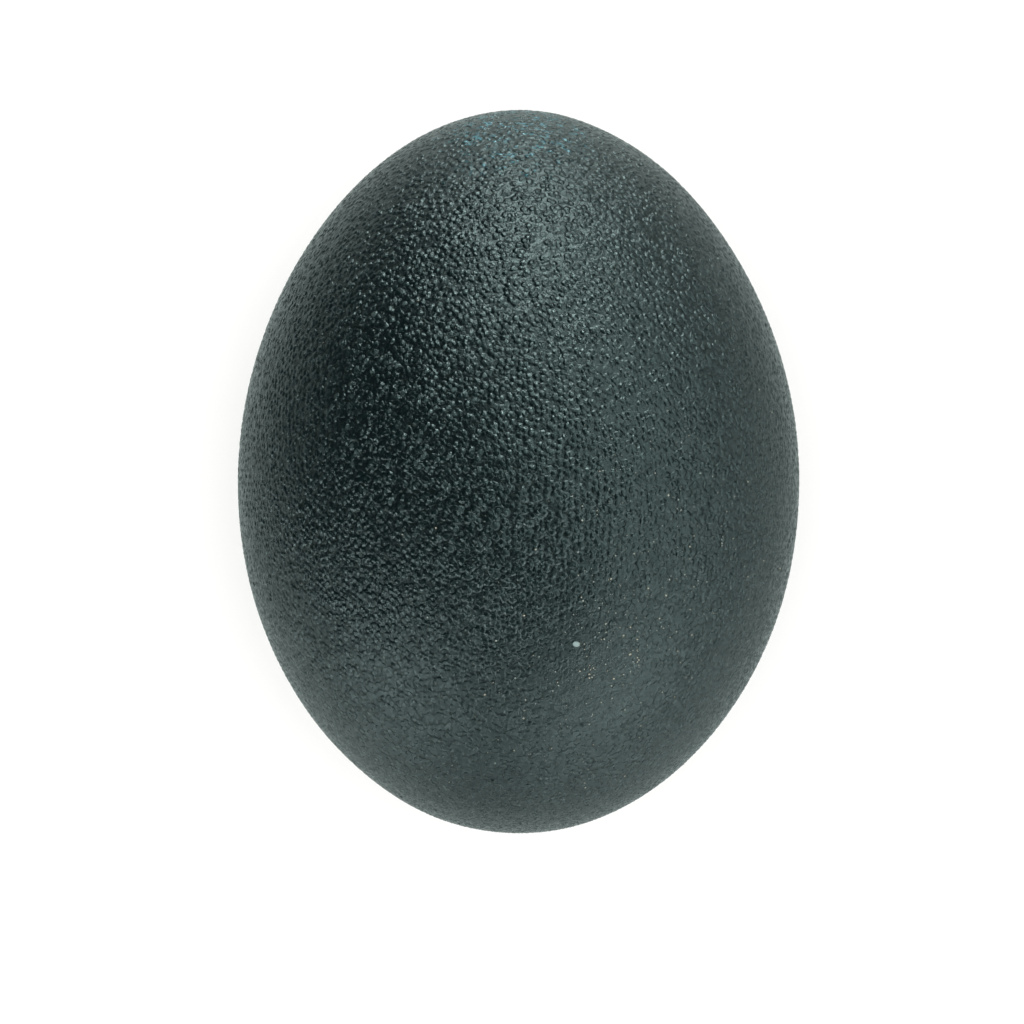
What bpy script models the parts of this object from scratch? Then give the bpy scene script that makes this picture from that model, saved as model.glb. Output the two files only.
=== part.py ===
"""Emu egg lying on its side: one turned solid with a small flat spot that it rests on.

Units are metres and +Z is up. The egg's long axis lies along Y, with its slightly narrower
end at +Y. The origin is under the middle of its length, on the surface it rests on.
"""

import math

import bpy

# Driving dimensions.
LENGTH = 0.121
BREADTH = 0.0939
REST_DEPTH = 0.0004  # how much of the belly the flat spot takes away

# The outline is Preston's egg formula. With t running from -90 to 90 degrees along the egg,
#     along = LENGTH / 2 * sin t
#     out = BREADTH / 2 * cos t * (1 + END_SKEW * sin t + END_TAPER * sin^2 t)
# A negative skew makes the sin t = +1 end the narrower one, and a negative taper makes both
# ends a little slimmer than an ellipse's.
END_SKEW = -0.032
END_TAPER = -0.0435

# How finely the solid is faceted.
RINGS = 44
SECTORS = 72

# Shell colour in linear light: a deep green, close to black.
SHELL_COLOUR = (0.030, 0.058, 0.056, 1.0)
SHELL_ROUGHNESS = 0.42


def clear_scene():
    """Remove every object, whatever scene the script is run in."""
    for old in list(bpy.data.objects):
        bpy.data.objects.remove(old, do_unlink=True)


def collection(name):
    """A new collection, linked to the scene."""
    made = bpy.data.collections.new(name)
    bpy.context.scene.collection.children.link(made)
    return made


def outline_point(t):
    """The outline at angle t, as its distance out from the axis and its place along it."""
    s = math.sin(t)
    out = BREADTH / 2 * math.cos(t) * (1 + END_SKEW * s + END_TAPER * s * s)
    return out, LENGTH / 2 * s


def outline():
    """The half outline from the narrower end down to the broader one, in the XZ plane."""
    turns = [math.pi * (0.5 - i / RINGS) for i in range(RINGS + 1)]
    points = [outline_point(t) for t in turns]
    points[0] = (0.0, LENGTH / 2)
    points[-1] = (0.0, -LENGTH / 2)
    return [(out, 0.0, along) for out, along in points]


def shell_material():
    """A hard, satin eggshell in its dark green."""
    made = bpy.data.materials.new("eggshell")
    made.use_nodes = True
    shader = made.node_tree.nodes["Principled BSDF"]
    shader.inputs["Base Color"].default_value = SHELL_COLOUR
    shader.inputs["Roughness"].default_value = SHELL_ROUGHNESS
    shader.inputs["Metallic"].default_value = 0.0
    made.diffuse_color = SHELL_COLOUR
    return made


def turned_egg(parts):
    """The half outline, turned once round by a Screw modifier and laid down along Y."""
    points = outline()
    mesh = bpy.data.meshes.new("emu_egg")
    mesh.from_pydata(points, [(i, i + 1) for i in range(RINGS)], [])
    mesh.materials.append(shell_material())
    egg = bpy.data.objects.new("emu_egg", mesh)
    parts.objects.link(egg)

    turn = egg.modifiers.new("turn", "SCREW")
    turn.axis = "Z"
    turn.angle = 2 * math.pi
    turn.steps = SECTORS
    turn.render_steps = SECTORS
    turn.use_merge_vertices = True
    turn.merge_threshold = 0.00002
    turn.use_smooth_shade = True

    # Local +Z, the narrower end, turns to +Y. The belly dips under z = 0 by the rest depth.
    widest = max(out for out, _, _ in points)
    egg.rotation_euler = (-math.pi / 2, 0.0, 0.0)
    egg.location = (0.0, 0.0, widest - REST_DEPTH)
    return egg


def cut_rest_spot(egg, cutters):
    """Slice off what reaches below z = 0, which leaves the flat spot."""
    bpy.ops.mesh.primitive_cube_add(size=1.0)
    block = bpy.context.object
    block.name = "ground_cutter"
    for holder in list(block.users_collection):
        holder.objects.unlink(block)
    cutters.objects.link(block)
    block.dimensions = (BREADTH, LENGTH, BREADTH)
    block.location = (0.0, 0.0, -BREADTH / 2)
    block.display_type = "WIRE"
    block.hide_render = True

    cut = egg.modifiers.new("rest_spot", "BOOLEAN")
    cut.operation = "DIFFERENCE"
    cut.object = block


def main():
    """Build the egg."""
    clear_scene()
    egg = turned_egg(collection("emu_egg"))
    cut_rest_spot(egg, collection("cutters"))


main()
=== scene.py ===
"""An emu egg lying on its side: a dark green shell covered in fine, flat-topped granules.

The egg's long axis lies along Y, its slightly narrower end is at +Y, and the camera looks
straight down on it. Lengths are in metres unless a name ends in _MM or _mm.
"""

import itertools
import logging
import math
from dataclasses import dataclass
from enum import Enum

import bpy
import numpy as np
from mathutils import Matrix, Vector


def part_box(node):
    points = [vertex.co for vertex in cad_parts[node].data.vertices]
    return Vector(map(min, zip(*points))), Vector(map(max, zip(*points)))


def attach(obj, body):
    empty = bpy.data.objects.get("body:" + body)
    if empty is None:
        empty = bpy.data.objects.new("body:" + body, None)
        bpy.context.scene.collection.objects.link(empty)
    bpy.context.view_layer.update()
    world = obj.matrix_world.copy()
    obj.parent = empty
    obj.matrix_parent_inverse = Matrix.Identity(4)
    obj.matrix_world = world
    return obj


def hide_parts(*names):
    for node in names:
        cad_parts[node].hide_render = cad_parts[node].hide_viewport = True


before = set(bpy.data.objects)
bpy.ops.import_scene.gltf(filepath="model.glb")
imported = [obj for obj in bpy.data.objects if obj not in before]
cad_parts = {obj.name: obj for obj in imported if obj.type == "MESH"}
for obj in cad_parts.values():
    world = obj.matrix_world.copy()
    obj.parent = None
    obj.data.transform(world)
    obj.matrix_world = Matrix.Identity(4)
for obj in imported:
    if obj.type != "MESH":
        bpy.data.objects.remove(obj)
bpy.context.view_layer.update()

log = logging.getLogger("emu_egg")
MM = 0.001
NODE = "emu_egg"


def linear(hex_colour: str) -> tuple[float, float, float, float]:
    """Turn an sRGB hex colour into linear light.

    Args:
        hex_colour: six hex digits with a leading #.

    Returns:
        Linear red, green and blue, and an alpha of 1.
    """
    parts = [int(hex_colour[i : i + 2], 16) / 255 for i in (1, 3, 5)]
    lit = [p / 12.92 if p <= 0.04045 else ((p + 0.055) / 1.055) ** 2.4 for p in parts]
    return (*lit, 1.0)


def unit(vectors: np.ndarray) -> np.ndarray:
    """Scale each vector of an (n, 3) array to length 1."""
    return vectors / np.linalg.norm(vectors, axis=-1, keepdims=True)


def add_node(tree: bpy.types.NodeTree, kind: str, settings: dict, inputs: dict) -> bpy.types.Node:
    """Add one node with its settings and links.

    Args:
        tree: the node tree of a material or the world.
        kind: the node's type without its ShaderNode prefix, such as Math.
        settings: values of the node's own properties, by name.
        inputs: a value or an output socket for each input, by name or number.

    Returns:
        The new node.
    """
    node = tree.nodes.new("ShaderNode" + kind)
    for name, value in settings.items():
        setattr(node, name, value)
    for key, value in inputs.items():
        if isinstance(value, bpy.types.NodeSocket):
            tree.links.new(value, node.inputs[key])
        else:
            node.inputs[key].default_value = value
    return node


def make_piece(
    name: str, places: np.ndarray, triangles: np.ndarray, values: dict[str, np.ndarray]
) -> bpy.types.Object:
    """Make a smooth-shaded mesh object from whole arrays.

    Args:
        name: the piece's name.
        places: (n, 3) vertex places in the row frame.
        triangles: (m, 3) vertex numbers, anticlockwise from outside.
        values: what the materials read, by attribute name: (n,) numbers for the vertices,
            (m,) numbers for the triangles or (m, 3, 3) vectors for their corners.

    Returns:
        The object, linked to the scene, with its place in its mesh.
    """
    mesh = bpy.data.meshes.new(name)
    mesh.vertices.add(len(places))
    mesh.vertices.foreach_set("co", places.astype(np.float32).ravel())
    mesh.loops.add(triangles.size)
    mesh.loops.foreach_set("vertex_index", triangles.astype(np.int32).ravel())
    mesh.polygons.add(len(triangles))
    mesh.polygons.foreach_set("loop_start", np.arange(0, triangles.size, 3, dtype=np.int32))
    for key, numbers in values.items():
        flat = numbers.astype(np.float32).ravel()
        if numbers.ndim == 3:
            mesh.attributes.new(key, "FLOAT_VECTOR", "CORNER").data.foreach_set("vector", flat)
        else:
            domain = "POINT" if len(numbers) == len(places) else "FACE"
            mesh.attributes.new(key, "FLOAT", domain).data.foreach_set("value", flat)
    mesh.update(calc_edges=True)
    mesh.validate()
    mesh.shade_smooth()
    piece = bpy.data.objects.new(name, mesh)
    bpy.context.scene.collection.objects.link(piece)
    return piece


def waves(directions: np.ndarray, length: float, count: int, seed: int) -> np.ndarray:
    """Smooth random noise over a unit ball, as a sum of plane waves.

    Each wave is sin(2 pi * (k . direction) / length + phase), with k a random unit vector. The
    sum is divided by the square root of half their number, so that it stays about -2 to 2.

    Args:
        directions: (n, 3) unit vectors.
        length: wavelength as a distance on the unit ball.
        count: how many waves are summed.
        seed: seed of the random numbers.

    Returns:
        (n,) noise values.
    """
    rng = np.random.default_rng(seed)
    ways = unit(rng.normal(size=(count, 3)))
    lengths = length * rng.uniform(0.75, 1.35, count)
    phases = rng.uniform(0, 2 * math.pi, count)
    turns = 2 * math.pi * (directions @ ways.T) / lengths + phases
    return np.sin(turns).sum(axis=1) / math.sqrt(count / 2)


class Tint(Enum):
    """The colours of the shell, the lime and the studio, as sRGB hex."""

    # Painted shade: the grooves get this colour, darker than the granules'.
    PAINTED_GROOVE_SHADE = "#02090b"
    GRANULE = "#061315"
    # Painted glints: a paler colour put on the tops of some granules.
    PAINTED_GLINT = "#414f4d"
    TEAL = "#4f93a3"
    CAST = "#cdf4f0"
    LIME = "#aca693"
    CHIP = "#768a88"
    FLOOR = "#f4f4f2"
    SKY = "#ffffff"
    GLEAM = "#e0f0ec"


@dataclass(frozen=True)
class Outline:
    """The egg's outline by Preston's formula, turned about the long axis.

    With t from -90 to 90 degrees along the egg,
        along = length / 2 * sin t
        out = breadth / 2 * cos t * (1 + skew * sin t + taper * sin^2 t)
    """

    length: float
    breadth: float
    height: float
    skew: float = -0.032
    taper: float = -0.0435

    def out(self, t: np.ndarray) -> np.ndarray:
        """Distance from the long axis at angle t."""
        s = np.sin(t)
        return self.breadth / 2 * np.cos(t) * (1 + self.skew * s + self.taper * s * s)

    def slope(self, t: np.ndarray) -> tuple[np.ndarray, np.ndarray]:
        """How the outline moves out and along as t grows.

        Args:
            t: angles along the egg.

        Returns:
            The rates of change of out and of along.
        """
        s, c = np.sin(t), np.cos(t)
        swell = 1 + self.skew * s + self.taper * s * s
        out = self.breadth / 2 * (c * c * (self.skew + 2 * self.taper * s) - s * swell)
        return out, self.length / 2 * c

    def places(self, t: np.ndarray, turn: np.ndarray) -> np.ndarray:
        """Points of the smooth surface.

        The point is out(t) away from the long axis towards (cos turn, 0, sin turn), and
        length / 2 * sin t along it. The axis runs level through (0, 0, height).

        Args:
            t: angles along the egg.
            turn: angles round it, from +X towards +Z.

        Returns:
            (n, 3) points.
        """
        out = self.out(t)
        along = self.length / 2 * np.sin(t)
        return np.stack([out * np.cos(turn), along, self.height + out * np.sin(turn)], axis=-1)

    def normals(self, t: np.ndarray, turn: np.ndarray) -> np.ndarray:
        """Outward unit normals of the smooth surface.

        In the plane through the axis the normal is (d along, -d out), turned with the point.

        Args:
            t: angles along the egg.
            turn: angles round it.

        Returns:
            (n, 3) unit vectors.
        """
        d_out, d_along = self.slope(t)
        return unit(np.stack([d_along * np.cos(turn), -d_out, d_along * np.sin(turn)], axis=-1))

    def spread(
        self, directions: np.ndarray, coarser: float = 0.0
    ) -> tuple[np.ndarray, np.ndarray]:
        """Lay evenly spaced points of a unit ball on the egg.

        The share of the egg's points between the broad end and t is found by summing
        2 pi out ds / spacing^2, where the spacing grows as 1 + coarser * sin t towards the
        narrow end. It is matched to the ball's share, which is (1 + y) / 2.

        Args:
            directions: (n, 3) unit vectors.
            coarser: how much wider the spacing is at the narrow end than at the middle.

        Returns:
            The angles t and turn of each.
        """
        t = np.linspace(-math.pi / 2, math.pi / 2, 4001)
        area_rate = self.out(t) * np.hypot(*self.slope(t)) / (1 + coarser * np.sin(t)) ** 2
        steps = (area_rate[1:] + area_rate[:-1]) / 2
        share = np.concatenate([[0.0], np.cumsum(steps)])
        share /= share[-1]
        along = np.interp((1 + directions[:, 1]) / 2, share, t)
        return along, np.arctan2(directions[:, 2], directions[:, 0])


def direction(t: np.ndarray, turn: np.ndarray) -> np.ndarray:
    """The unit vector (cos t cos turn, sin t, cos t sin turn) for the egg's angles t and turn."""
    return np.stack([np.cos(t) * np.cos(turn), np.sin(t), np.cos(t) * np.sin(turn)], axis=-1)


@dataclass(frozen=True)
class Region:
    """A soft round region of the egg, in degrees.

    `along` is 90 at the narrow end and -90 at the broad one. `turn` goes round the long axis
    from +X, and is 90 on top.
    """

    along: float
    turn: float
    reach: float

    def centre(self) -> np.ndarray:
        """The direction of the middle."""
        return direction(np.radians(self.along), np.radians(self.turn))

    def share(self, t: np.ndarray, turn: np.ndarray) -> np.ndarray:
        """How far into the region each point is.

        It is exp(-(angle / reach)^2), with the angle between the point's direction and the
        middle's.

        Args:
            t: angles along the egg.
            turn: angles round it.

        Returns:
            Numbers from 0 to 1.
        """
        angle = np.degrees(np.arccos((direction(t, turn) @ self.centre()).clip(-1, 1)))
        return np.exp(-((angle / self.reach) ** 2))

    def scatter(self, count: int, rng: np.random.Generator) -> tuple[np.ndarray, np.ndarray]:
        """Random points, thickest in the middle: its direction plus normal steps, at length 1.

        Args:
            count: how many.
            rng: the source of the random numbers.

        Returns:
            The angles t and turn of each.
        """
        steps = rng.normal(size=(count, 3)) * math.radians(self.reach) / math.sqrt(2)
        x, y, z = unit(self.centre() + steps).T
        return np.arcsin(y), np.arctan2(z, x)


@dataclass(frozen=True)
class GeodesicNet:
    """A net of nearly equal triangles on a unit ball, from an icosahedron.

    Each icosahedron edge is cut into `parts`, which gives 10 parts^2 + 2 crossings.
    """

    parts: int

    def corners(self) -> tuple[np.ndarray, np.ndarray]:
        """The icosahedron.

        Its corners are (0, +-1, +-g) and the two rolls of that, with g the golden ratio. Its
        faces are the triples of corners that are all one edge apart.

        Returns:
            (12, 3) unit vectors and (20, 3) corner numbers, anticlockwise from outside.
        """
        golden = (1 + math.sqrt(5)) / 2
        first = np.array([(0.0, a, b * golden) for a in (-1, 1) for b in (-1, 1)])
        points = unit(np.concatenate([np.roll(first, k, axis=1) for k in range(3)]))
        triples = np.array(list(itertools.combinations(range(12), 3)))
        corners = points[triples]
        sides = np.linalg.norm(corners - np.roll(corners, 1, axis=1), axis=2)
        faces = triples[(sides < 1.1).all(axis=1)]
        inward = np.linalg.det(points[faces]) < 0
        faces[inward] = faces[inward][:, ::-1]
        return points, faces

    def build(self) -> tuple[np.ndarray, np.ndarray]:
        """Cut every face and join the faces along their edges.

        A crossing with shares (a, b, c) of a face's corners A, B, C lies along
        sin(a w) A + sin(b w) B + sin(c w) C, with w the angle of an edge, which keeps the
        triangles nearly equal.

        Returns:
            (n, 3) unit vectors and (m, 3) crossing numbers, anticlockwise from outside.
        """
        points, faces = self.corners()
        n = self.parts
        i, j = np.meshgrid(np.arange(n + 1), np.arange(n + 1), indexing="ij")
        inside = i + j <= n
        shares = np.stack([n - i - j, i, j], axis=-1)[inside] / n
        arc = math.acos(points[faces[0, 0]] @ points[faces[0, 1]])
        crossings = unit(np.sin(shares * arc) @ points[faces])
        number = np.full((n + 1, n + 1), -1)
        number[inside] = np.arange(inside.sum())
        up, down = i + j < n, i + j < n - 1
        a, b = i[up], j[up]
        c, d = i[down], j[down]
        small = np.concatenate(
            [
                np.stack([number[a, b], number[a + 1, b], number[a, b + 1]], axis=-1),
                np.stack([number[c + 1, d], number[c + 1, d + 1], number[c, d + 1]], axis=-1),
            ]
        )
        offsets = np.arange(len(faces))[:, None, None] * inside.sum()
        triangles = (small[None] + offsets).reshape(-1, 3)
        crossings = crossings.reshape(-1, 3)
        _, kept, joined = np.unique(
            np.round(crossings * 1e6), axis=0, return_index=True, return_inverse=True
        )
        return crossings[kept], joined.reshape(-1)[triangles]


@dataclass(frozen=True)
class EggshellFinish:
    """Natural eggshell: calcite granules under a thin, dark green, waxy cuticle.

    The wax gives a satin gloss with a faint green cast. Its pigment is so dark that nearly all
    that the eye sees is the gloss; the grooves between the granules hold less wax, so they are
    a little duller, and their colour is painted a little darker as painted shade. In one region
    the tops of some granules are painted paler as painted glints, and where the narrow end is
    worn, the teal layer below shows.

    A pair of numbers is the start and the end of a range. `per_mm` counts noise cells to a
    millimetre. `unevenness` holds the cells and the depth in mm of each noise that lies on the
    granules: lumps of about 0.5 mm, a lean that differs between neighbours over about 2 mm, and
    the crystals' own grit, drawn a little coarser than it is, about 0.3 mm.
    """

    roughness: tuple[float, float] = (0.3, 0.2)
    ior: float = 1.5
    relief_mm: float = 0.3
    reach_mm: float = 0.70
    flatness: float = 1.7
    rag_per_mm: float = 1.4
    rag_noise: tuple[float, float] = (0.25, 0.75)
    rag_reach: tuple[float, float] = (0.75, 1.25)
    cap: tuple[float, float] = (1.3, 0.1)
    cap_blend: float = 0.15
    unevenness: tuple[tuple[float, float], ...] = ((2.2, 0.11), (0.5, 0.16), (3.5, 0.15))
    glint_top: tuple[float, float] = (0.72, 1.05)
    fleck_per_mm: float = 2.2
    fleck_noise: tuple[float, float] = (0.28, 0.5)
    bare: float = 0.6

    def build(self) -> bpy.types.Material:
        """Make the material.

        Returns:
            The material, which reads Object coordinates and the attributes offset, tall, worn,
            frosted and rubbed.
        """
        material = bpy.data.materials.new("pebbled_eggshell")
        material.use_nodes = True
        tree = material.node_tree
        shader = tree.nodes["Principled BSDF"]
        shader.inputs["IOR"].default_value = self.ior
        shader.inputs["Specular Tint"].default_value = linear(Tint.CAST.value)
        place = add_node(tree, "TexCoord", {}, {}).outputs["Object"]
        in_mm = add_node(
            tree, "VectorMath", {"operation": "MULTIPLY"}, {0: place, 1: (1 / MM,) * 3}
        ).outputs[0]
        worn, painted_glints, tall, rubbed = (
            add_node(tree, "Attribute", {"attribute_name": name}, {}).outputs["Fac"]
            for name in ("worn", "painted_glints", "tall", "rubbed")
        )
        dome = self.dome(tree, in_mm, tall)
        cap = add_node(
            tree, "MapRange", {}, {"Value": rubbed, "To Min": self.cap[0], "To Max": self.cap[1]}
        ).outputs["Result"]
        granule = add_node(
            tree, "Math", {"operation": "SMOOTH_MIN"}, {0: dome, 1: cap, 2: self.cap_blend}
        ).outputs[0]
        tree.links.new(self.normal(tree, in_mm, granule), shader.inputs["Normal"])
        colour = self.colour(tree, in_mm, dome, granule, painted_glints, worn)
        tree.links.new(colour, shader.inputs["Base Color"])
        groove, top = self.roughness
        rough = add_node(
            tree, "MapRange", {}, {"Value": granule, "To Min": groove, "To Max": top}
        ).outputs["Result"]
        tree.links.new(rough, shader.inputs["Roughness"])
        return material

    def dome(
        self, tree: bpy.types.NodeTree, in_mm: bpy.types.NodeSocket, tall: bpy.types.NodeSocket
    ) -> bpy.types.NodeSocket:
        """The granules as domes.

        With `out` the way from the peak as a share of the granule's reach, at most 1, a dome is
        tall * (1 - out^flatness). Noise of about 0.7 mm changes the reach from place to place,
        which makes the outlines ragged.

        Args:
            tree: the material's nodes.
            in_mm: the point, in mm.
            tall: the granule's height.

        Returns:
            The height, as a share of relief_mm.
        """
        offset = add_node(tree, "Attribute", {"attribute_name": "offset"}, {}).outputs["Vector"]
        away = add_node(
            tree, "VectorMath", {"operation": "LENGTH"}, {0: offset}
        ).outputs["Value"]
        rag = add_node(
            tree, "TexNoise", {}, {"Vector": in_mm, "Scale": self.rag_per_mm, "Detail": 2.0}
        ).outputs["Fac"]
        ragged = add_node(
            tree,
            "MapRange",
            {},
            {
                "Value": rag,
                "From Min": self.rag_noise[0],
                "From Max": self.rag_noise[1],
                "To Min": self.rag_reach[0] / (self.reach_mm * MM),
                "To Max": self.rag_reach[1] / (self.reach_mm * MM),
            },
        ).outputs["Result"]
        out = add_node(
            tree, "Math", {"operation": "MULTIPLY", "use_clamp": True}, {0: away, 1: ragged}
        ).outputs[0]
        sunk = add_node(
            tree, "Math", {"operation": "POWER"}, {0: out, 1: self.flatness}
        ).outputs[0]
        return add_node(
            tree, "MapRange", {}, {"Value": sunk, "To Min": tall, "To Max": 0.0}
        ).outputs["Result"]

    def normal(
        self, tree: bpy.types.NodeTree, in_mm: bpy.types.NodeSocket, granule: bpy.types.NodeSocket
    ) -> bpy.types.NodeSocket:
        """The bumped normal: the granules, with each noise of `unevenness` added.

        Args:
            tree: the material's nodes.
            in_mm: the point, in mm.
            granule: the granules' height, as a share of relief_mm.

        Returns:
            The normal.
        """
        height = granule
        for per_mm, depth_mm in self.unevenness:
            noise = add_node(
                tree, "TexNoise", {}, {"Vector": in_mm, "Scale": per_mm, "Detail": 2.0}
            ).outputs["Fac"]
            height = add_node(
                tree,
                "Math",
                {"operation": "MULTIPLY_ADD"},
                {0: noise, 1: depth_mm / self.relief_mm, 2: height},
            ).outputs[0]
        return add_node(
            tree, "Bump", {}, {"Height": height, "Distance": self.relief_mm * MM, "Strength": 1.0}
        ).outputs["Normal"]

    def colour(
        self,
        tree: bpy.types.NodeTree,
        in_mm: bpy.types.NodeSocket,
        dome: bpy.types.NodeSocket,
        granule: bpy.types.NodeSocket,
        painted_glints: bpy.types.NodeSocket,
        worn: bpy.types.NodeSocket,
    ) -> bpy.types.NodeSocket:
        """The colour: green, darker in the grooves as painted shade, with paler tops as painted
        glints, and teal flecks of about 0.4 mm where it is worn.

        Args:
            tree: the material's nodes.
            in_mm: the point, in mm.
            dome: the granules' height before they are rubbed.
            granule: the granules' height.
            painted_glints: how strongly the granule's top is painted paler, as a painted glint.
            worn: how worn the shell is.

        Returns:
            The colour.
        """
        # Painted shade: the colour goes darker towards the grooves.
        green = add_node(
            tree,
            "Mix",
            {"data_type": "RGBA"},
            {0: granule, 6: linear(Tint.PAINTED_GROOVE_SHADE.value), 7: linear(Tint.GRANULE.value)},
        ).outputs[2]
        # Painted glints: the tops of some granules are painted paler.
        start, end = self.glint_top
        top = add_node(
            tree,
            "MapRange",
            {"interpolation_type": "SMOOTHSTEP"},
            {"Value": dome, "From Min": start, "From Max": end, "To Max": painted_glints},
        ).outputs["Result"]
        glinted = add_node(
            tree, "Mix", {"data_type": "RGBA"}, {0: top, 6: green, 7: linear(Tint.PAINTED_GLINT.value)}
        ).outputs[2]
        fleck = add_node(
            tree, "TexNoise", {}, {"Vector": in_mm, "Scale": self.fleck_per_mm, "Detail": 1.0}
        ).outputs["Fac"]
        patchy = add_node(
            tree, "Math", {"operation": "MULTIPLY"}, {0: fleck, 1: worn}
        ).outputs[0]
        start, end = self.fleck_noise
        bare = add_node(
            tree,
            "MapRange",
            {"interpolation_type": "SMOOTHSTEP"},
            {"Value": patchy, "From Min": start, "From Max": end, "To Max": self.bare},
        ).outputs["Result"]
        return add_node(
            tree, "Mix", {"data_type": "RGBA"}, {0: bare, 6: glinted, 7: linear(Tint.TEAL.value)}
        ).outputs[2]


@dataclass
class Eggshell:
    """The egg's outside: a closed shell of raised granules with grooves between them.

    `jitter` and `drift` are shares of the granules' spacing, and `drift_length` is in spacings.
    `peaks` and `grooves` are how high the granules' middles and the points between them stand,
    as shares of `relief`. `rubbed` lists smoothed regions with how far they are smoothed.
    """

    outline: Outline
    finish: EggshellFinish
    parts: int = 57
    relief: float = 0.13 * MM
    swell: float = 0.12 * MM
    jitter: float = 0.26
    drift: float = 0.06
    drift_length: float = 5.0
    peaks: tuple[float, float] = (0.8, 1.0)
    grooves: tuple[float, float] = (0.0, 0.3)
    off_centre: float = 0.13 * MM
    sizes: tuple[float, float] = (0.8, 1.25)
    heights: tuple[float, float] = (0.5, 1.3)
    coarser: float = 0.18
    rubbed: tuple[tuple[Region, float], ...] = (
        (Region(along=-34, turn=72, reach=26), 0.95),
        (Region(along=-50, turn=100, reach=44), 0.72),
        (Region(along=42, turn=78, reach=26), 0.25),
        (Region(along=8, turn=66, reach=24), 0.25),
    )
    worn: Region = Region(along=68, turn=92, reach=28)
    # The region where paler tops are painted on, as painted glints.
    painted_glints: Region = Region(along=14, turn=104, reach=28)
    glint_rarity: float = 1.5
    seed: int = 11
    name: str = "pebbled_shell"

    def scatter(self, centres: np.ndarray) -> np.ndarray:
        """Move the granules' centres off the even net.

        Each moves along the ball by a random step and by a smooth drift, both as shares of
        the spacing, so that granules differ in size and close up in places.

        Args:
            centres: (n, 3) unit vectors.

        Returns:
            The moved unit vectors.
        """
        rng = np.random.default_rng(self.seed)
        spacing = math.sqrt(8 * math.pi / math.sqrt(3) / len(centres))
        step = rng.normal(size=centres.shape).clip(-1.5, 1.5) * self.jitter
        length = self.drift_length * spacing
        waves_xyz = [waves(centres, length, 24, self.seed + k) for k in (1, 2, 3)]
        step += self.drift * np.stack(waves_xyz, axis=-1)
        step -= (step * centres).sum(axis=1, keepdims=True) * centres
        return unit(centres + step * spacing)

    def surface(self) -> tuple[np.ndarray, np.ndarray, dict[str, np.ndarray]]:
        """Work out the shell.

        The vertices are the granules' centres, which stand near the outline, and the points
        where three granules meet, which lie in the grooves. Each edge of the net, with the
        meeting points on its left and right, gives two triangles: one on each granule.

        Returns:
            Places, triangles and what the material reads.
        """
        rng = np.random.default_rng(self.seed + 50)
        centres, triangles = GeodesicNet(self.parts).build()
        centres = self.scatter(centres)
        meets = unit(centres[triangles].mean(axis=1))
        n = len(centres)
        start, end = triangles.ravel(), np.roll(triangles, -1, axis=1).ravel()
        owner = np.repeat(np.arange(len(triangles)), 3)
        order = np.lexsort((start > end, np.maximum(start, end), np.minimum(start, end)))
        one, other = order[0::2], order[1::2]
        left, right = owner[one] + n, owner[other] + n
        faces = np.concatenate(
            [
                np.stack([start[one], right, left], axis=-1),
                np.stack([end[one], left, right], axis=-1),
            ]
        )
        t, turn = self.outline.spread(np.concatenate([centres, meets]), self.coarser)
        smooth = self.outline.places(t, turn)
        rise = np.concatenate(
            [rng.uniform(*self.peaks, n), rng.uniform(*self.grooves, len(meets))]
        )
        depth = self.relief * (1 - rise) + self.dents(t, turn)
        places = smooth - self.outline.normals(t, turn) * depth[:, None]
        places[:, 2] = places[:, 2].clip(0.0)
        # Each corner's way from its granule's peak, in units of the granule's own size.
        granule = faces[:, 0]
        size = rng.uniform(*self.sizes, n)[granule]
        peaks = smooth[:n] + rng.normal(size=(n, 3)) * self.off_centre
        offset = (smooth[faces] - peaks[granule, None]) / size[:, None, None]
        # Painted glints: how strongly each granule's top is painted paler.
        glinted = rng.random(n) ** self.glint_rarity * self.painted_glints.share(t[:n], turn[:n])
        values = {
            "offset": offset,
            "tall": rng.uniform(*self.heights, n)[granule],
            "painted_glints": glinted[granule],
            "worn": self.worn.share(t, turn) * rng.uniform(0.0, 1.0, len(places)),
            "rubbed": np.max([how * r.share(t, turn) for r, how in self.rubbed], axis=0),
        }
        return places, faces, values

    def dents(self, t: np.ndarray, turn: np.ndarray) -> np.ndarray:
        """How far the shell lies inside the outline: 0 to `swell`, in slow waves."""
        slow = waves(direction(t, turn), 0.5, 16, self.seed + 9).clip(-2, 2)
        return self.swell * (0.5 + 0.25 * slow)

    def build(self) -> None:
        """Make the shell and dress it."""
        places, faces, values = self.surface()
        piece = make_piece(self.name, places, faces, values)
        piece.data.materials.append(self.finish.build())
        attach(piece, "root")
        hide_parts(NODE)
        log.info("%s: %d vertices, %d triangles", piece.name, len(places), len(faces))


@dataclass(frozen=True)
class LimeFinish:
    """Lime: dried, chalky white calcium carbonate, as it is left on the shell by the hen."""

    roughness: float = 0.8

    def build(self) -> bpy.types.Material:
        """Make the material, whose colour goes from pale green to cream by the attribute tone."""
        material = bpy.data.materials.new("chalky_lime")
        material.use_nodes = True
        tree = material.node_tree
        shader = tree.nodes["Principled BSDF"]
        shader.inputs["Roughness"].default_value = self.roughness
        tone = add_node(tree, "Attribute", {"attribute_name": "tone"}, {}).outputs["Fac"]
        colour = add_node(
            tree,
            "Mix",
            {"data_type": "RGBA"},
            {0: tone, 6: linear(Tint.CHIP.value), 7: linear(Tint.LIME.value)},
        ).outputs[2]
        tree.links.new(colour, shader.inputs["Base Color"])
        return material


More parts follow.
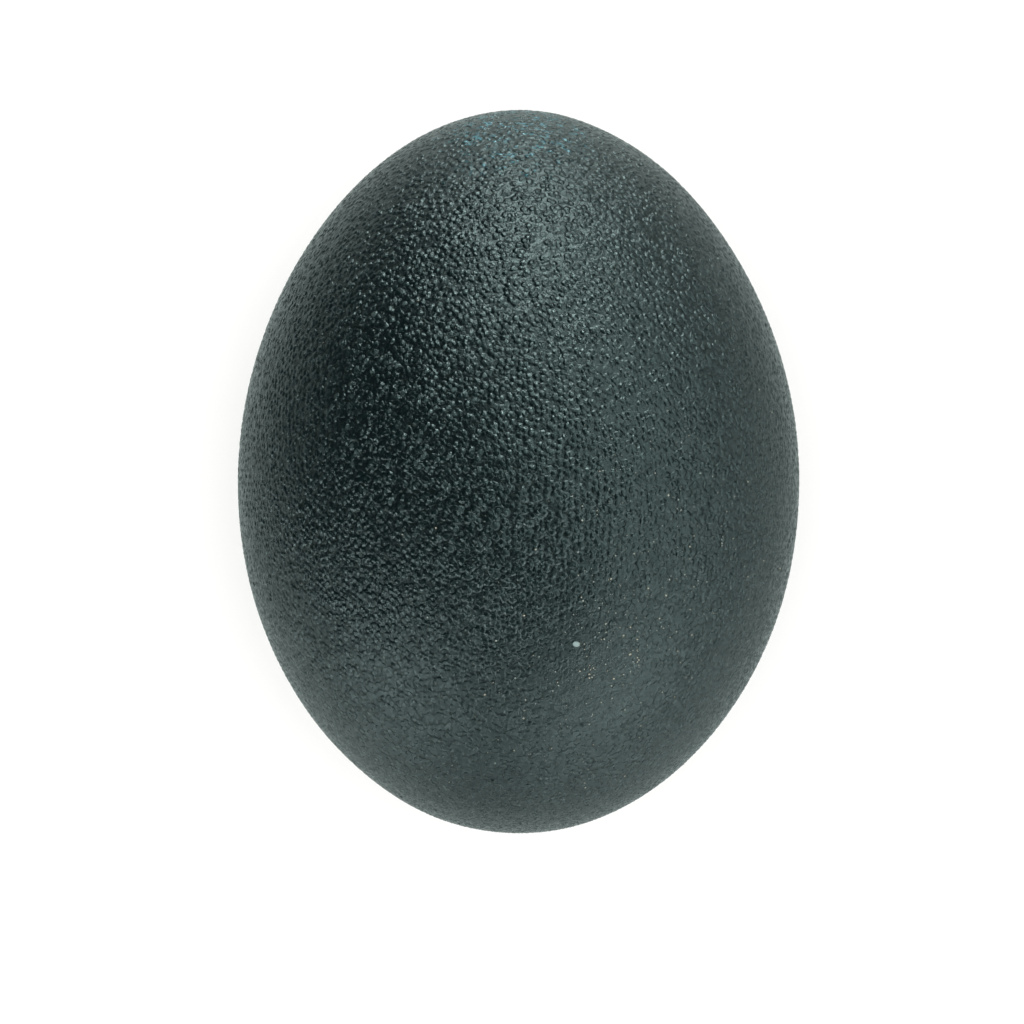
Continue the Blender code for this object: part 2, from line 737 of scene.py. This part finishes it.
@dataclass
class LimeSpecks:
    """Tiny flattened grains of lime stuck to the shell, and one larger oval scab.

    The larger a grain, the rarer it is: its size goes with a random share to the power of
    `rarity`. `slimmest` is a grain's smallest breadth and `flat` its height, as shares of its
    length. `sunk` is how deep its middle lies in the shell.
    """

    shell: Eggshell
    finish: LimeFinish
    regions: tuple[tuple[Region, int], ...] = (
        (Region(along=-20, turn=62, reach=17), 260),
        (Region(along=-36, turn=74, reach=16), 180),
        (Region(along=-31.6, turn=74.2, reach=1.4), 12),
        (Region(along=-29.5, turn=63.4, reach=1.8), 16),
        (Region(along=-10, turn=95, reach=70), 60),
    )
    scab: Region = Region(along=-26.8, turn=77.8, reach=0.0)
    smallest: float = 0.10 * MM
    largest: float = 0.34 * MM
    scab_size: tuple[float, float, float] = (1.3 * MM, 1.0 * MM, 0.12 * MM)
    rarity: float = 2.5
    slimmest: float = 0.6
    flat: float = 0.6
    sunk: float = 0.02 * MM
    ring_latitudes: tuple[float, float] = (45, -10)
    sides: int = 8
    seed: int = 5
    name: str = "lime_specks"

    def grain(self) -> tuple[np.ndarray, np.ndarray]:
        """One grain: a closed, lens-like ball, 1 across and 1 high.

        Rings at the latitudes `lat` have points at (cos lat cos a, cos lat sin a, sin lat) / 2,
        and a point closes the top and the bottom.

        Returns:
            Points and triangles.
        """
        a = np.arange(self.sides) * 2 * math.pi / self.sides
        rings = [
            np.stack([c * np.cos(a), c * np.sin(a), np.full_like(a, s)], axis=-1) / 2
            for c, s in ((math.cos(lat), math.sin(lat)) for lat in np.radians(self.ring_latitudes))
        ]
        points = np.concatenate([*rings, [[0, 0, 0.5], [0, 0, -0.5]]])
        i = np.arange(self.sides)
        j = (i + 1) % self.sides
        n = self.sides
        top, bottom = np.full_like(i, 2 * n), np.full_like(i, 2 * n + 1)
        triangles = np.concatenate(
            [
                np.stack([top, i, j], axis=-1),
                np.stack([i, i + n, j + n], axis=-1),
                np.stack([i, j + n, j], axis=-1),
                np.stack([bottom, j + n, i + n], axis=-1),
            ]
        )
        return points, triangles

    def build(self) -> None:
        """Set every grain on the shell, turned and sized at random, as one piece."""
        rng = np.random.default_rng(self.seed)
        groups = [(self.scab, 1), *self.regions]
        t, turn = np.concatenate([np.stack(r.scatter(n, rng)) for r, n in groups], axis=1)
        count = len(t)
        up = self.shell.outline.normals(t, turn)
        round_egg = np.stack([-np.sin(turn), np.zeros(count), np.cos(turn)], axis=-1)
        along_egg = np.cross(up, round_egg)
        spin = rng.uniform(0, 2 * math.pi, count)[:, None]
        long_way = round_egg * np.cos(spin) + along_egg * np.sin(spin)
        cross_way = np.cross(up, long_way)
        across = self.smallest + (self.largest - self.smallest) * rng.random(count) ** self.rarity
        breadth = across * rng.uniform(self.slimmest, 1.0, count)
        sizes = np.stack([across, breadth, across * self.flat], axis=-1)
        sizes[0] = self.scab_size
        grain, triangles = self.grain()
        axes = np.stack([long_way, cross_way, up], axis=1) * sizes[..., None]
        depth = self.shell.dents(t, turn) + self.sunk
        seats = self.shell.outline.places(t, turn) - up * depth[:, None]
        places = (seats[:, None] + grain @ axes).reshape(-1, 3)
        faces = triangles + np.arange(count)[:, None, None] * len(grain)
        tone = rng.random(count)
        tone[0] = 0.0
        piece = make_piece(
            self.name, places, faces.reshape(-1, 3), {"tone": np.repeat(tone, len(grain))}
        )
        piece.data.materials.append(self.finish.build())
        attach(piece, "root")
        log.info("%s: %d grains, %d triangles", piece.name, count, count * len(triangles))


@dataclass
class Lamp:
    """A soft panel lamp, aimed at a point.

    Its place is given by the direction it is seen in from that point. It shows only as a gleam
    on glossy surfaces, so that it throws no shadow of the egg across the pale floor.
    """

    name: str
    azimuth: float
    elevation: float
    distance: float
    width: float
    height: float
    radiance: float

    def build(self, target: tuple[float, float, float]) -> None:
        """Hang the lamp.

        A panel of area A that sends out power P has radiance P / (pi A).

        Args:
            target: the point it faces.
        """
        light = bpy.data.lights.new(self.name, "AREA")
        light.shape = "RECTANGLE"
        light.size = self.width
        light.size_y = self.height
        light.energy = self.radiance * math.pi * self.width * self.height
        lamp = bpy.data.objects.new(self.name, light)
        lamp.visible_camera = False
        lamp.visible_diffuse = False
        bpy.context.scene.collection.objects.link(lamp)
        az, el = math.radians(self.azimuth), math.radians(self.elevation)
        way = (math.cos(el) * math.cos(az), math.cos(el) * math.sin(az), math.sin(el))
        lamp.location = [p + self.distance * w for p, w in zip(target, way, strict=True)]
        # A lamp shines along its local -Z; tilt it down from straight up, then turn it.
        lamp.rotation_euler = (math.pi / 2 - el, 0.0, az + math.pi / 2)


@dataclass
class Studio:
    """Camera, pale floor and soft light.

    `fill` is the surroundings' strength for the eye and for matt surfaces. Glossy surfaces see
    them at `under` straight below and at `sheen` above, and `turns_pale` is where the change
    lies, as the height of the reflected direction.

    The lamps' radiances and `under` weren't chosen by hand: they are the rounded results of a
    least-squares fit of the shell's brightness, made by a separate program.
    """

    centre: tuple[float, float, float]
    lens_mm: float = 120.0
    sensor_mm: float = 36.0
    view_width: float = 171.5 * MM
    aim: tuple[float, float] = (-1.1 * MM, -6.7 * MM)
    floor_size: float = 4.0
    floor_drop: float = 0.05 * MM
    floor_roughness: float = 0.45
    fill: float = 1.6
    under: float = 1.1
    sheen: float = 0.01
    turns_pale: tuple[float, float] = (-0.6, -0.4)
    lamps: tuple[Lamp, ...] = (
        Lamp("key_low", 84, 7, 0.9, 0.45, 0.25, 26.0),
        Lamp("key_high", 88, 33, 0.9, 0.50, 0.50, 4.7),
        Lamp("side_front", 40, 43, 0.9, 0.35, 0.30, 9.4),
        Lamp("side", 2, 50, 0.9, 0.30, 0.40, 6.4),
        Lamp("low_left", 225, 7, 0.9, 0.50, 0.25, 13.8),
        Lamp("low_back", 290, 7, 0.9, 0.90, 0.25, 6.9),
        Lamp("low_east", 5, 8, 0.9, 0.60, 0.25, 5.0),
        Lamp("low_right", 325, 10, 0.9, 0.50, 0.30, 6.2),
        Lamp("back", 292, 33, 0.9, 0.90, 0.50, 0.6),
    )

    def camera(self) -> None:
        """Hang the camera straight above, at the distance that shows view_width."""
        data = bpy.data.cameras.new("camera")
        data.lens = self.lens_mm
        data.sensor_width = self.sensor_mm
        data.clip_start = 0.01
        camera = bpy.data.objects.new("camera", data)
        bpy.context.scene.collection.objects.link(camera)
        away = self.lens_mm / self.sensor_mm * self.view_width
        camera.location = (*self.aim, self.centre[2] + away)
        bpy.context.scene.camera = camera

    def floor(self) -> None:
        """Lay a plain matt floor just under the egg."""
        half = self.floor_size / 2
        corners = np.array([(-1, -1, 0), (1, -1, 0), (1, 1, 0), (-1, 1, 0)]) * half
        corners[:, 2] = -self.floor_drop
        floor = make_piece("floor", corners, np.array([(0, 1, 2), (0, 2, 3)]), {})
        material = bpy.data.materials.new("matt_floor")
        material.use_nodes = True
        shader = material.node_tree.nodes["Principled BSDF"]
        shader.inputs["Base Color"].default_value = linear(Tint.FLOOR.value)
        shader.inputs["Roughness"].default_value = self.floor_roughness
        floor.data.materials.append(material)
        # The shell mirrors the surroundings below instead, which are less bright than the floor.
        floor.visible_glossy = False

    def world(self) -> None:
        """Surround the egg: pale for the eye and the floor, and for gloss pale only below."""
        world = bpy.data.worlds.new("studio")
        bpy.context.scene.world = world
        world.use_nodes = True
        tree = world.node_tree
        back = tree.nodes["Background"]
        way = add_node(tree, "TexCoord", {}, {}).outputs["Generated"]
        upward = add_node(tree, "SeparateXYZ", {}, {0: way}).outputs["Z"]
        mirrored = add_node(
            tree,
            "MapRange",
            {},
            {
                "Value": upward,
                "From Min": self.turns_pale[0],
                "From Max": self.turns_pale[1],
                "To Min": self.under,
                "To Max": self.sheen,
            },
        ).outputs["Result"]
        path = add_node(tree, "LightPath", {}, {})
        strength = add_node(
            tree,
            "MapRange",
            {},
            {"Value": path.outputs["Is Glossy Ray"], "To Min": self.fill, "To Max": mirrored},
        ).outputs["Result"]
        colour = add_node(
            tree,
            "Mix",
            {"data_type": "RGBA"},
            {
                0: path.outputs["Is Glossy Ray"],
                6: linear(Tint.SKY.value),
                7: linear(Tint.GLEAM.value),
            },
        ).outputs[2]
        tree.links.new(colour, back.inputs["Color"])
        tree.links.new(strength, back.inputs["Strength"])

    def build(self) -> None:
        """Set up the whole studio."""
        self.camera()
        self.floor()
        self.world()
        for lamp in self.lamps:
            lamp.build(self.centre)
        bpy.context.scene.view_settings.view_transform = "Standard"
        log.info("studio: %d lamps", len(self.lamps))


def main() -> None:
    """Build the egg and its studio."""
    logging.basicConfig(level=logging.INFO, format="%(name)s: %(message)s")
    low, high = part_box(NODE)
    breadth = high.x - low.x
    height = high.z - breadth / 2
    outline = Outline(length=high.y - low.y, breadth=breadth, height=height)
    shell = Eggshell(outline, EggshellFinish())
    shell.build()
    LimeSpecks(shell, LimeFinish()).build()
    Studio(centre=(0.0, 0.0, height)).build()


if __name__ == "__main__":
    main()
